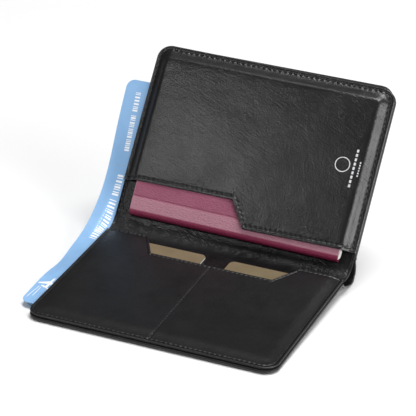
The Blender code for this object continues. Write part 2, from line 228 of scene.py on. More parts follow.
def slab(name, top, under, uv, wear_and_sheen=None, sharp=40, extra=None):
    """A sheet between two grids of points (rows, columns, 3), closed round its border.

    uv gives two numbers for each grid point; the next argument is 0 to 1 where the surface is made lighter,
    on rubbed edges and as a painted sheen on the lining's fold ends and the booklet's hinge band.
    """
    rows, columns = top.shape[:2]
    count = rows * columns
    points = np.concatenate([top.reshape(-1, 3), under.reshape(-1, 3)])
    index = np.arange(count).reshape(rows, columns)
    a, b, c, d = index[:-1, :-1], index[:-1, 1:], index[1:, 1:], index[1:, :-1]
    quads = np.stack([a, b, c, d], -1).reshape(-1, 4)
    faces = [*quads.tolist(), *(quads[:, ::-1] + count).tolist()]
    border = [*index[0, :], *index[1:, -1], *index[-1, -2::-1], *index[-2:0:-1, 0]]
    for p, q in zip(border, border[1:] + border[:1]):
        faces.append([int(q), int(p), int(p) + count, int(q) + count])
    obj = build(name, points, faces)
    lay_uv(obj.data, np.concatenate([uv.reshape(-1, 2)] * 2))
    facts = {"wear_and_sheen": np.zeros(count) if wear_and_sheen is None else wear_and_sheen, **(extra or {})}
    for key, values in facts.items():
        attribute = obj.data.attributes.new(key, "FLOAT", "POINT")
        attribute.data.foreach_set("value", np.concatenate([values.ravel()] * 2).astype(np.float32))
    return tidy_mesh(obj, sharp)


def outline_distance(x, reach, inset=0.0):
    """How far places are inside a half's outline, whose far corners are round."""
    dx = np.abs(x) - (HALF - inset - CORNER)
    dr = reach - (DEPTH - inset - CORNER)
    outside = np.hypot(np.maximum(dx, 0), np.maximum(dr, 0))
    inside = np.minimum(np.maximum(dx, dr), 0)
    return CORNER - (outside + inside)


def free_edge(x, inset=0.0):
    """Reach of the free edge, with its round corners."""
    past = np.maximum(0.0, np.abs(x) - (HALF - CORNER))
    return DEPTH - CORNER - inset + np.sqrt(np.maximum(0.0, CORNER**2 - past**2))


def nose(distance, radius):
    """How far a surface drops below its level near a rounded edge."""
    d = np.clip(distance, 0.0, radius)
    return radius - np.sqrt(np.maximum(0.0, radius**2 - (radius - d) ** 2))


def fine_to_coarse(span, first, growth, largest):
    """Distances from an edge: small steps that grow until they reach the largest."""
    out, step = [0.0], first
    while out[-1] + step < span:
        out.append(out[-1] + step)
        step = min(step * growth, largest)
    return out


def spaced(places, least):
    """The places in order, leaving out any that are closer than that to the one before."""
    places = np.sort(places)
    keep = [places[0]]
    for place in places[1:]:
        if place - keep[-1] > least:
            keep.append(place)
    return np.array(keep)


def columns_across(largest=1.2, edge=HALF, extra=()):
    """Places across a half, dense at both sides and with the extra places among them."""
    near = np.array(fine_to_coarse(edge, 0.06, 1.28, largest))
    right = edge - near
    places = np.concatenate([-right, right, [0.0], np.array(extra, float)])
    return spaced(places, 0.05)


def rows_between(start, end, largest=1.2, first=0.06):
    """Shares from 0 to 1 of the way, dense at both ends."""
    span = end - start
    near = np.array(fine_to_coarse(span / 2, first, 1.3, largest)) / span
    return np.unique(np.round(np.concatenate([near, 1 - near, [0.5]]), 6))


# ---- the pocket panels
def passport_mouth(x):
    """Reach of the passport pocket's open edge."""
    t = (x - MOUTH_STEP_X[0]) / (MOUTH_STEP_X[1] - MOUTH_STEP_X[0])
    return MOUTH_HIGH + (MOUTH_LOW - MOUTH_HIGH) * np.clip(t, 0, 1) + MOUTH_RISE * (x + HALF)


def card_mouth(x):
    """Reach of the card pocket's open edge."""
    t = (np.abs(x) - NOTCH_X[0]) / (NOTCH_X[1] - NOTCH_X[0])
    return NOTCH_LOW + (NOTCH_HIGH - NOTCH_LOW) * np.clip(t, 0, 1)


def mouth_distance(mouth, x, reach):
    """About how far places are from the mouth, square to its edge."""
    step = 0.5
    slope = (mouth(x + step) - mouth(x - step)) / (2 * step)
    return (reach - mouth(x)) / np.sqrt(1 + slope**2)


def ramp(t, soft):
    """0 to 1 in a straight slope whose two bends are softened."""
    return 0.5 + 0.5 * (np.sqrt(t**2 + soft**2) - np.sqrt((t - 1) ** 2 + soft**2))


def wall_share(x, reach, soft=0.1):
    """0 at the rim to 1 on the raised field."""
    from_side = (HALF - RIM_WIDTH - np.abs(x)) / SIDE_WALL
    from_end = (DEPTH - RIM_WIDTH - reach) / END_WALL
    return ramp(from_side, soft) * ramp(from_end, soft)


def vault(x, reach):
    """1 at the middle of the moulded field, falling away slowly to all sides."""
    across = 0.08 + 0.58 * smooth_step((reach - 8) / 58)
    return 1 - across * (x / HALF) ** 2 - 0.5 * ((reach - 40) / 60) ** 2


def passport_surface(x, reach):
    """Height of the upper panel's face, without its edges: moulded over the booklet."""
    share = wall_share(x, reach, 0.17)
    field = 0.34 * ripple(x, reach, 30, 3.1) + 0.11 * ripple(x, reach, 13, 8.4)
    field += 0.03 * ripple(x, reach, 5, 1.4)
    beside, beyond = np.abs(x) - (HALF - 5.6), reach - (DEPTH - 6.0)
    dimple = 0.5 * np.exp(-(beside**2 + beyond**2) / 2.4**2)
    dome = 0.8 * vault(x, reach)
    roll = 0.5 * smooth_step((2 - x) / 24) * np.exp((passport_mouth(x) - reach) / 9)
    return (PASSPORT_RISE - 0.2 + dome - roll) * share + field * smooth_step(share * 1.6) - dimple


def card_surface(x, reach):
    """Height of the lower panel's face, without its edges: it lies softly over two cards."""
    share = wall_share(x, reach, 0.35)
    valley = np.exp(-((x / 0.7) ** 2)) * smooth_step((reach - NOTCH_LOW) / 2)
    field = 0.09 * ripple(x, reach, 30, 5.7) + 0.03 * ripple(x, reach, 8, 1.2)
    front = smooth_step((DEPTH - 2.2 - reach) / 9)
    return CARD_RISE * share * (0.55 + 0.45 * front) + field * share - 0.14 * valley


def seam_groove(distance, width=0.55):
    """A shallow valley along a line of stitches."""
    return np.exp(-((distance / width) ** 2))


def nearest_run(route, x, reach):
    """How far along a route the closest place to each grid point is."""
    travel = travelled(route)
    flat = np.stack([x.ravel(), reach.ravel()], -1)
    best = np.empty(len(flat))
    for k in range(0, len(flat), 2000):
        part = flat[k:k + 2000]
        gap = np.linalg.norm(part[:, None, :] - route[None, :, :], axis=2)
        near = np.clip(gap.argmin(1), 1, len(route) - 2)
        step = route[near + 1] - route[near - 1]
        forward = ((part - route[near]) * step).sum(1) / np.maximum((step**2).sum(1), 1e-6)
        best[k:k + 2000] = travel[near] + forward * (travel[near + 1] - travel[near - 1])
    return best.reshape(x.shape)


def panel(name, side, mouth, surface, mouth_seam, corners, bead, seams):
    """A pocket's front leather with a turned hem at its mouth and a rolled outer edge."""
    beside = [c + k for c in corners for k in (-0.8, -0.4, 0, 0.4, 0.8)]
    close = [k * 0.16 for k in range(1, 20)]
    beside += [sign * (HALF - d) for d in close for sign in (-1, 1)]
    x = columns_across(extra=beside)
    share = rows_between(0, DEPTH, 1.1)
    wall = [(DEPTH - RIM_WIDTH - END_WALL * k / 10) / DEPTH for k in range(11)]
    edge = [1 - d / (DEPTH - MOUTH_HIGH) for d in close]
    near_mouth = [k * 0.3 / DEPTH for k in range(1, 16)]
    inner = spaced(np.concatenate([share, wall, edge, near_mouth]), 0.07 / DEPTH)
    share = np.append(inner[inner < 1 - 0.07 / DEPTH], 1.0)
    grid_x, grid_t = np.meshgrid(x, share)
    start, end = mouth(grid_x), free_edge(grid_x)
    reach = start + (end - start) * grid_t
    rim = outline_distance(grid_x, reach)
    lip = mouth_distance(mouth, grid_x, reach)
    height = surface(grid_x, reach)
    height += 0.2 * smooth_step(1 - lip + MOUTH_SEAM * 0.5) * (lip < 4)
    height += bead * (seam_groove(rim - 0.6, 0.32) - 0.8 * seam_groove(rim - 1.15, 0.25))
    height -= 0.24 * seam_groove(rim - RIM_SEAM)
    height -= 0.22 * seam_groove(lip - mouth_seam)
    drop = nose(np.minimum(rim, lip), 0.42)
    slope_x = np.gradient(surface(grid_x, reach), x, axis=1)
    thick = PANEL * np.minimum(np.sqrt(1 + slope_x**2), 1.9)
    levels = (height - drop * 0.85, height - thick + drop * 0.35)
    wear_and_sheen = np.maximum(1 - rim / 0.9, 0) + 0.7 * np.maximum(1 - lip / 0.8, 0)
    uv = np.stack([grid_x, reach * side], -1)
    top, under = (on_half(side, grid_x, reach, level) for level in levels)
    facts = seam_facts(grid_x, reach, [rim - RIM_SEAM, lip - mouth_seam], seams)
    return slab(name, top, under, uv, np.clip(wear_and_sheen, 0, 1), 60, facts)


def seam_facts(x, reach, offsets, seams):
    """For the leather's puckers: which part of a stitch is beside each place, and how far off it is."""
    across, phase = np.full(x.shape, 9.0), np.zeros(x.shape)
    for offset, (route, pitch) in zip(offsets, seams):
        closer = np.abs(offset) < np.abs(across)
        run = nearest_run(route, x, reach) / pitch - 0.6
        across = np.where(closer, offset, across)
        phase = np.where(closer, run, phase)
    return {"seam_off": across, "seam_phase": phase}


# ---- the bent layers
def bend_radius(reach):
    """Radius of the arc that leaves both halves at that reach."""
    return (SPINE_MID + reach * math.cos(FOLD)) / math.sin(FOLD)


def bent(along, depth, reach=BEND_REACH):
    """Spine-frame (y, z) of a place on a layer: along from the spine's middle, on the inner plane."""
    arc = bend_radius(reach)
    angle = np.clip(along / arc, -FOLD, FOLD)
    extra, radius = along - angle * arc, arc - depth
    centre = arc * math.cos(FOLD) + reach * math.sin(FOLD)
    y = SPINE_MID + radius * np.sin(angle) + extra * np.cos(angle)
    return y, centre - radius * np.cos(angle) + extra * np.sin(angle)


def spine_place(x, y, z):
    """Spine-frame places in the row frame."""
    x, y, z = np.broadcast_arrays(x, y, z)
    return to_world(SPINE, np.stack([x, y, z], -1))


def along_of(reach):
    """Distance along the inner plane from the spine's middle of a place at that reach."""
    return bend_radius(BEND_REACH) * FOLD + (reach - BEND_REACH)


def lining(name, side):
    """Half of the lining, from the free edge to the middle of the spine."""
    inset = 0.35
    x = columns_across(1.0, HALF - inset)
    creased = along_of(9)
    near = np.linspace(0, creased, 44)
    far = creased + (along_of(DEPTH) - creased) * rows_between(0, DEPTH, 2.4)[1:]
    rows = np.concatenate([near, far])
    grid_x, grid_s = np.meshgrid(x, rows)
    full = along_of(free_edge(grid_x, inset))
    squeeze = along_of(DEPTH - CORNER)
    tail = np.clip((grid_s - squeeze) / (rows[-1] - squeeze), 0, 1)
    grid_s = np.where(grid_s > squeeze, squeeze + tail * (full - squeeze), grid_s)
    reach = grid_s - along_of(0)
    edge = outline_distance(grid_x, reach, inset)
    signed = side * grid_s
    crease = wrinkles(grid_x, signed)
    rim = outline_distance(grid_x, reach)
    if side > 0:
        crease += 0.13 * seam_groove(rim - 0.9, 0.3) - 0.2 * seam_groove(rim - RIM_SEAM)
    drop = nose(np.maximum(edge, 0), 0.25)
    uv = np.stack([grid_x, signed], -1)
    # the lining takes on the upper half's cut as it crosses the spine
    grid_x, short = upper_cut(grid_x, np.maximum(signed, 0), smooth_step((signed + 9) / 9))
    signed = np.where(signed > 0, short, signed)
    top_y, top_z = bent(signed, LINING_TOP + crease - drop)
    under_y, under_z = bent(signed, LINING_UNDER + 0.4 * crease + drop)
    wear_and_sheen = np.clip(1 - edge / 0.6, 0, 1)
    # painted sheen: the fold's two ends are made lighter in colour, standing in for the light caught on
    # their glossy wrinkles
    painted_sheen_at_ends = smooth_step((20 - uv[..., 0]) / 60)
    painted_sheen_at_ends = np.maximum(painted_sheen_at_ends, 0.6 * smooth_step((uv[..., 0] - 54) / 9))
    wear_and_sheen = np.maximum(wear_and_sheen, painted_sheen_at_ends * np.exp(-((grid_s / 7) ** 2)))
    return slab(name, spine_place(grid_x, top_y, top_z), spine_place(grid_x, under_y, under_z), uv, wear_and_sheen, 60)


def wrinkles(x, along):
    """Creases of the lining at the fold, deepest at its left end."""
    left = 0.3 + 0.7 * smooth_step((10 - x) / 70)
    right_end = 0.25 * smooth_step((x - 52) / 12)
    band = np.exp(-((along / 7.0) ** 2))
    fine = ripple(x * 0.45 + along * 0.25, along * 1.5, 1.7, 2.2)
    broad = ripple(x * 0.35, along, 3.6, 6.1)
    slanted = ripple(x * 0.9 + along * 0.8, along * 1.2 - x * 0.3, 4.5, 9.9)
    height = 0.12 * fine + 0.2 * broad + 0.16 * slanted
    return height * band * np.maximum(left**1.5, right_end) * 1.5 - 0.03 * band


def cover_place(reach, side):
    """Spine-frame (y, z) of the outer leather's middle surface on the flat of one half."""
    skin = (COVER_OUT + COVER_IN) / 2
    y = reach * math.cos(FOLD) - skin * math.sin(FOLD)
    z = reach * math.sin(FOLD) + skin * math.cos(FOLD)
    return (SPINE_WIDTH + y, z) if side > 0 else (-y, z)


def loop_route():
    """Spine-frame points of the slack loop's middle surface, from the lower half to the upper one."""
    lead = 3
    knots = [cover_place(COVER_START[-1] + lead, -1), cover_place(COVER_START[-1], -1), *LOOP_POINTS]
    knots += [cover_place(COVER_START[1], 1), cover_place(COVER_START[1] + lead, 1)]
    knots = [np.array(k) for k in knots]
    curve = []
    for a, b, p, q in zip(knots, knots[1:], knots[2:], knots[3:]):
        for t in np.linspace(0, 1, 12, endpoint=False):
            bend = (2 * a - 5 * b + 4 * p - q) * t**2 + (3 * b - a - 3 * p + q) * t**3
            curve.append(0.5 * (2 * b + (p - a) * t + bend))
    curve = np.array([*curve, knots[-2]])
    for _ in range(10):
        curve[1:-1] = 0.5 * curve[1:-1] + 0.25 * (curve[:-2] + curve[2:])
    return curve


def outer_leather(name, side):
    """Half of the outer leather: the cover of one half and its share of the loop behind the spine."""
    curve = loop_route()[::-1] if side > 0 else loop_route()
    start = COVER_START[side]
    lengths = travelled(curve)
    middle = lengths[-1] * (0.5 - 0.03 * side)
    loop_rows = np.linspace(0, middle, 26)
    beside_turn = np.array([-0.5, -0.15, 0.15, 0.5])
    turn_rows = (DEPTH - TURNED_WIDTH - beside_turn - start) / (DEPTH - start)
    shares = np.unique([*rows_between(start, DEPTH, 2.2), *turn_rows])[::-1]
    turn_columns = HALF - TURNED_WIDTH + beside_turn
    x = columns_across(2.0, HALF, [*-turn_columns, *turn_columns])
    grid_x, grid_t = np.meshgrid(x, shares[:-1])
    flat = len(grid_x)
    reach = start + (free_edge(grid_x) - start) * grid_t
    on_flat = cover_place(upper_cut(grid_x, reach)[1] if side > 0 else reach, side)
    on_loop = (np.repeat(np.interp(loop_rows, lengths, line)[:, None], len(x), 1) for line in curve.T)
    rows_y, rows_z = (np.concatenate(both) for both in zip(on_flat, on_loop))
    dy, dz = np.gradient(rows_y, axis=0), np.gradient(rows_z, axis=0)
    size = np.hypot(dy, dz)
    size[size < 1e-6] = 1
    normal_y, normal_z = dz / size * side, -dy / size * side
    normal_y[:flat], normal_z[:flat] = -side * math.sin(FOLD), math.cos(FOLD)
    all_x = np.repeat(x[None, :], len(rows_y), 0)
    from_edge = np.concatenate([outline_distance(grid_x, reach), HALF - np.abs(all_x[flat:])])
    loop_share = np.concatenate([np.zeros(flat), smooth_step(loop_rows / middle * 2.5)])[:, None]
    turned = smooth_step((TURNED_WIDTH + 0.3 - from_edge) / 0.6)
    drop = nose(from_edge, 0.55)
    run = np.cumsum(size, 0)
    sag = 0.16 * ripple(all_x, run, 16, 4.0 + side) * loop_share
    skin = COVER_SKIN / 2
    out_h = skin - 0.8 * drop + sag + 0.05 * ripple(all_x, run, 22, 7.7 + side)
    out_h = np.minimum(out_h, skin + 0.1 * loop_share)
    in_h = skin + (TURNED_TOP - COVER_IN) * turned * (1 - 0.55 * loop_share) - drop - sag
    place_x = all_x
    if side > 0:
        share = np.concatenate([np.ones(flat), smooth_step(1 - loop_rows / 7)])[:, None]
        place_x = upper_cut(all_x, 0, share)[0]
    outer = spine_place(place_x, rows_y - normal_y * out_h, rows_z - normal_z * out_h)
    inner = spine_place(place_x, rows_y + normal_y * in_h, rows_z + normal_z * in_h)
    along = np.concatenate([reach - start, -np.repeat(loop_rows[:, None], len(x), 1)]) * side
    wear_and_sheen = np.clip(1 - from_edge / 0.9, 0, 1)
    return slab(name, outer, inner, np.stack([all_x, along], -1), wear_and_sheen, 60)


def pass_place(x, along, depth):
    """A place on the pass. Outside the holder it bends in a longer curve than between the layers."""
    tight_y, tight_z = bent(along, depth)
    reach = 21
    tight, limit = along_of(reach), bend_radius(reach) * FOLD
    straight = along + np.sign(along) * (limit - tight)
    scaled = np.where(np.abs(along) < tight, along * limit / tight, straight)
    loose_y, loose_z = bent(scaled, depth, reach)
    loose = smooth_step((-(HALF - 0.5) - x) / 7)
    return tight_y + (loose_y - tight_y) * loose, tight_z + (loose_z - tight_z) * loose


def pass_surface(u, signed, depth):
    """A place on the pass: u across it from its left edge, signed along it. Its free strip sags."""
    x = u - HALF - PASS_OVERHANG - PASS_SKEW * signed
    outside = smooth_step((-HALF - x) / 12)
    wave = 0.12 * ripple(x, signed, 30, 2.5) * smooth_step((-HALF - x) / 8)
    wave -= 2.6 * np.exp(-(((signed + 43) / 14) ** 2)) * outside
    wave -= 2.4 * np.exp(-(((signed - 32) / 20) ** 2)) * outside
    y, z = pass_place(x, signed, depth + wave)
    return spine_place(x, y, z)


def boarding_pass(name, side):
    """Half of the pass, from one end to the middle of the spine. It is one sheet of card."""
    end = side * PASS_ENDS[side]
    bend_end, cut = 12, 30
    round_end = end - PASS_CORNER * (1 - np.sin(np.linspace(0, math.pi / 2, 9)))
    rows = np.unique([*np.linspace(0, bend_end, 20), *np.linspace(bend_end, end - 6, 60), *round_end])
    even = [*np.linspace(0, cut, 61), *np.linspace(cut, PASS_WIDTH, 14)]
    corner = PASS_CORNER * (1 - np.cos(np.linspace(0, math.pi / 2, 7)))
    across = np.unique(np.concatenate([np.round(even, 3), corner, PASS_WIDTH - corner]))
    grid_u, grid_s = np.meshgrid(across, rows)
    past = np.maximum(0, grid_s - (end - PASS_CORNER))
    bite = PASS_CORNER - np.sqrt(np.maximum(0, PASS_CORNER**2 - past**2))
    u, signed = np.clip(grid_u, bite, PASS_WIDTH - bite), side * grid_s
    under, top = (pass_surface(u, signed, level) for level in PASS_LAYER)
    return slab(name, top, under, np.stack([u, signed], -1), None, 30)


def bars_along(first, last, tall, pattern):
    """Short white bars in a row between two (u, along) places, in a rhythm of bar and gap."""
    first, last = np.array(first), np.array(last)
    length = np.linalg.norm(last - first)
    way = (last - first) / length
    side = np.array([way[1], -way[0]]) * tall / 2
    edges = np.cumsum([0, *pattern]) * length / sum(pattern)
    ends = [(first + way * p, first + way * q) for p, q in zip(edges[::2], edges[1::2])]
    return [(p - side, q - side, q + side, p + side) for p, q in ends]


def pass_print(name, patches, cells=3):
    """Thin print lying on the pass: patches of small cells, with corners at (u, along) places."""
    points, faces = [], []
    steps = np.linspace(0, 1, cells + 1)
    for corners in patches:
        (a, b, c, d), base = corners, len(points)
        points += [(a * (1 - s) + b * s) * (1 - t) + (d * (1 - s) + c * s) * t for s in steps for t in steps]
        for i in range(cells):
            for j in range(cells):
                p = base + i * (cells + 1) + j
                faces.append((p, p + 1, p + cells + 2, p + cells + 1))
    points = np.array(points)
    return build(name, pass_surface(points[:, 0], points[:, 1], PASS_LAYER[1] + 0.03), faces)


# ---- stitches
def rim_route(start_left, start_right):
    """Places along the rim's seam, up the left side, along the free edge and down the right side."""
    edge, far, radius = HALF - RIM_SEAM, DEPTH - RIM_SEAM, CORNER - RIM_SEAM
    step, turn = 0.4, math.pi / 32

    def corner(centre_x, angles):
        return [(centre_x + radius * math.cos(a), far - radius + radius * math.sin(a)) for a in angles]

    places = [(-edge, r) for r in np.arange(start_left, far - radius, step)]
    places += corner(radius - edge, math.pi - turn * np.arange(1, 16))
    places += [(x, far) for x in np.arange(radius - edge, edge - radius, step)]
    places += corner(edge - radius, math.pi / 2 - turn * np.arange(16))
    places += [(edge, r) for r in np.arange(far - radius, start_right, -step)]
    return np.array(places)


def mouth_route(mouth, inset, end):
    """Places along the seam that follows a pocket's mouth."""
    x = np.arange(-end, end, 0.3)
    return np.stack([x, mouth(x) + inset], -1)


def stitches(name, side, route, height, pitch, length, thickness, slant):
    """A seam: one short arched thread after another, each dipping into its holes."""
    travel = travelled(route)
    rings, sides = 7, 6
    t = np.linspace(-1, 1, rings)
    arch = STITCH_LIFT * (1 - 1.9 * np.abs(t) ** 3) - STITCH_DIP * (np.abs(t) > 0.9)
    fat = thickness / 2 * np.sqrt(np.maximum(0.15, 1 - 0.75 * t**4))
    round_it = 2 * math.pi * np.arange(sides) / sides
    beside, above = np.outer(fat, np.cos(round_it)), np.outer(fat, np.sin(round_it))
    points, faces = [], []
    for centre in np.arange(pitch * 0.6, travel[-1] - pitch * 0.5, pitch):
        jitter = RANDOM.uniform(-0.06, 0.06)
        turn = slant + RANDOM.uniform(-0.05, 0.05)
        along = centre + length * (t / 2 + jitter)
        px, pr = np.interp(along, travel, route[:, 0]), np.interp(along, travel, route[:, 1])
        tangent = np.array([px[-1] - px[0], pr[-1] - pr[0]])
        tangent /= np.linalg.norm(tangent)
        shift = t / 2 * length * math.tan(turn)
        px, pr = px - tangent[1] * shift, pr + tangent[0] * shift
        level = height(px, pr) + arch
        faces += ring_faces(rings, sides, len(points) * rings * sides)
        px, pr = px[:, None] - tangent[1] * beside, pr[:, None] + tangent[0] * beside
        points.append(np.stack([px, pr, level[:, None] + above], -1).reshape(-1, 3))
    return tidy_mesh(build(name, on_half(side, *np.concatenate(points).T), faces), 70)


RIM_ROUTE_UPPER = rim_route(2.5, MOUTH_LOW)
RIM_ROUTE_LOWER = rim_route(3.4, 3.4)
MOUTH_ROUTE = mouth_route(passport_mouth, MOUTH_SEAM, HALF - 0.6)
NOTCH_ROUTE = mouth_route(card_mouth, NOTCH_SEAM, HALF - 2.2)
DIVIDER_ROUTE = np.stack([np.zeros(300), np.linspace(NOTCH_LOW + 2.2, DEPTH - 2.4, 300)], -1)


# ---- contents
def askew(x, reach):
    """Places on the booklet, which was put in a little to the right and not quite level."""
    return x + PASSPORT_SHIFT, reach - PASSPORT_SKEW * (x - 62)


def passport_cover(name):
    """The booklet's cover: leatherette with a pressed hinge groove, wrapped round the spine."""
    low, high, radius, board = -0.65, 3.15, 1.75, 0.4
    start, depth, half_width = 2.2, 88, 61.9
    groove = start + 10.4
    stop = start + depth
    front = np.concatenate([
        np.linspace(stop, groove + 1.5, 50),
        np.linspace(groove + 1.4, groove - 1.4, 15),
        np.linspace(groove - 1.6, start + radius, 12),
    ])
    pressed = 0.22 * np.exp(-(((front - groove) / 0.42) ** 2))
    top_line = high - pressed - 0.42 * smooth_step((groove - front) / 9)
    middle, bulge = (top_line[-1] + low) / 2, (top_line[-1] - low) / 2
    turn = math.pi / 2 + math.pi * np.arange(1, 16) / 16
    back = np.linspace(start + radius, stop, 30)
    y = np.concatenate([front, start + radius + radius * np.cos(turn), back])
    z = np.concatenate([top_line, middle + bulge * np.sin(turn), np.full(len(back), low)])
    dy, dz = np.gradient(y), np.gradient(z)
    size = np.hypot(dy, dz)
    in_y, in_z = (-dz / size)[:, None], (dy / size)[:, None]
    x = columns_across(1.2, half_width)
    grid_x, grid_y = np.meshgrid(x, y)
    grid_z = np.repeat(z[:, None], len(x), 1)
    wavy = 0.04 * ripple(grid_x, grid_y, 18, 3.3)
    from_edge = np.minimum(half_width - np.abs(grid_x), np.abs(stop - grid_y) + 0.1)
    drop = nose(from_edge, 0.2)
    inset, deep = 0.4 * drop, board - 0.4 * drop
    sunk = grid_z + np.minimum(wavy, 0) - in_z * inset
    outer = on_half(1, *askew(grid_x, grid_y - in_y * inset), sunk, False)
    inner = on_half(1, *askew(grid_x, grid_y - in_y * deep), grid_z - in_z * deep, False)
    travel = travelled(np.stack([y, z], -1))
    uv = np.stack([grid_x, np.repeat(travel[:, None], len(x), 1)], -1)
    # painted sheen: the hinge band is made paler in colour, standing in for the light it reflects; the
    # rubbed edges are made paler too
    hinge = 0.62 * smooth_step((groove - 0.4 - grid_y) / 0.5) * (grid_z > middle + 0.5 * bulge)
    wear_and_sheen = np.clip(np.maximum(hinge, 1 - from_edge / 0.5), 0, 1)
    # painted shade: the cover is made darker where it turns down round its spine, away from the light
    painted_spine_shade = smooth_step((start + 3.0 - grid_y) / 0.7)
    return slab(name, outer, inner, uv, wear_and_sheen, 60, {"spine": painted_spine_shade})


def rounded_rectangle(x0, x1, y0, y1, radius, steps=6):
    """Points round a rectangle with round corners, counter-clockwise."""
    out = []
    for cx, cy, first in ((x1 - radius, y1 - radius, 0), (x0 + radius, y1 - radius, 90),
                          (x0 + radius, y0 + radius, 180), (x1 - radius, y0 + radius, 270)):
        for k in range(steps + 1):
            angle = math.radians(first + 90 * k / steps)
            out.append((cx + radius * math.cos(angle), cy + radius * math.sin(angle)))
    return np.array(out)


def stack_of_outlines(name, side, layers, sharp=40, place=lambda x, reach: (x, reach)):
    """A closed body from outlines (points, height), bottom to top, all with the same point count."""
    points = np.array([(*place_on, height) for outline, height in layers for place_on in outline])
    placed = on_half(side, *place(points[:, 0], points[:, 1]), points[:, 2], False)
    obj = build(name, placed, ring_faces(len(layers), len(layers[0][0])))
    lay_uv(obj.data, points[:, :2])
    return tidy_mesh(obj, sharp)


def passport_pages(name):
    """The block of pages: sheet edges a hair out of line with each other."""
    sheets = 17
    low, high = -0.2, 2.3
    pitch, bevel = (high - low) / sheets, 0.12
    layers = []
    for k in range(sheets):
        inset = RANDOM.uniform(0.0, 0.12)
        near = 3.0 + 1.4 * abs(2 * (k + 0.5) / sheets - 1) ** 3
        bottom = low + pitch * k
        top = bottom + 0.72 * pitch
        for shy, level in ((0, bottom), (0, top), (bevel, top + 0.01), (bevel, bottom + pitch)):
            right = 62.5 - inset - shy
            far = 89.6 - inset - shy
            layers.append((rounded_rectangle(1.5 - right, right, near, far, 1.5), level))
    return stack_of_outlines(name, 1, layers, 30, askew)


def card(name, centre_x):
    """A plastic card with softened edges."""
    near, low, high, soft = 7.5, -0.65, 0.11, 0.07

    def outline(inset):
        half, far = CARD_WIDTH / 2 - inset, near + CARD_LENGTH - inset
        return rounded_rectangle(centre_x - half, centre_x + half, near + inset, far, CARD_CORNER - inset, 8)

    levels = ((soft, low), (0, low + soft), (0, high - soft), (soft, high))
    return stack_of_outlines(name, -1, [(outline(inset), level) for inset, level in levels], 30)


# ---- materials
class Nodes:
    """A short way to wire a node tree."""

    def __init__(self, name):
        self.mat = bpy.data.materials.new(name)
        self.mat.use_nodes = True
        self.tree = self.mat.node_tree
        self.shader = self.tree.nodes["Principled BSDF"]

    def feed(self, socket, value):
        """Links another node's output to a socket, or sets the socket to a constant."""
        if isinstance(value, bpy.types.NodeSocket):
            self.tree.links.new(value, socket)
        else:
            socket.default_value = value

    def add(self, kind, inputs=(), **settings):
        node = self.tree.nodes.new(kind)
        for key, value in settings.items():
            setattr(node, key, value)
        for key, value in dict(inputs).items():
            self.feed(node.inputs[key], value)
        return node

    def set(self, **inputs):
        for key, value in inputs.items():
            self.feed(self.shader.inputs[key.replace("_", " ")], value)
        return self.mat

    def maths(self, operation, a, b=0.0, clamp=False):
        return self.add("ShaderNodeMath", {0: a, 1: b}, operation=operation, use_clamp=clamp).outputs[0]

    def noise(self, vector, scale, detail=3.0, rough=0.55, distort=0.0, output="Fac"):
        names = ("Vector", "Scale", "Detail", "Roughness", "Distortion")
        inputs = zip(names, (vector, scale, detail, rough, distort))
        return self.add("ShaderNodeTexNoise", inputs).outputs[output]

    def cells(self, vector, scale):
        inputs = {"Vector": vector, "Scale": scale}
        return self.add("ShaderNodeTexVoronoi", inputs, voronoi_dimensions="2D").outputs["Distance"]

    def ramp(self, factor, dark, light, places=(0.3, 0.7)):
        node = self.add("ShaderNodeValToRGB", {"Fac": factor})
        for element, place, colour in zip(node.color_ramp.elements, places, (dark, light)):
            element.position = place
            element.color = (*colour, 1.0)
        return node.outputs["Color"]

    def remap(self, value, low, high):
        return self.add("ShaderNodeMapRange", {"Value": value, "To Min": low, "To Max": high}).outputs[0]

    def mix(self, factor, a, colour):
        """Towards a constant colour by the factor."""
        node = self.add("ShaderNodeMix", data_type="RGBA")
        sockets = {s.name: s for s in node.inputs if s.enabled and s.type in ("RGBA", "VALUE")}
        for key, value in (("Factor", factor), ("A", a), ("B", (*colour, 1.0))):
            self.feed(sockets[key], value)
        return next(s for s in node.outputs if s.type == "RGBA" and s.enabled)

    def bump(self, height, strength, distance, normal=None):
        inputs = {"Height": height, "Strength": strength, "Distance": distance}
        if normal is not None:
            inputs["Normal"] = normal
        return self.add("ShaderNodeBump", inputs).outputs["Normal"]

    def uv(self, stretch=(1, 1, 1), turn=0.0):
        inputs = {"Vector": self.add("ShaderNodeTexCoord").outputs["UV"]}
        inputs |= {"Scale": stretch, "Rotation": (0, 0, turn)}
        return self.add("ShaderNodeMapping", inputs).outputs["Vector"]

    def object_place(self):
        return self.add("ShaderNodeTexCoord").outputs["Object"]

    def fact(self, name):
        """One of the numbers kept on the mesh's points."""
        return self.add("ShaderNodeAttribute", attribute_name=name).outputs["Fac"]


def grey(level, blue=1.03):
    """A grey with a slightly cold cast."""
    return (level, level, level * blue)


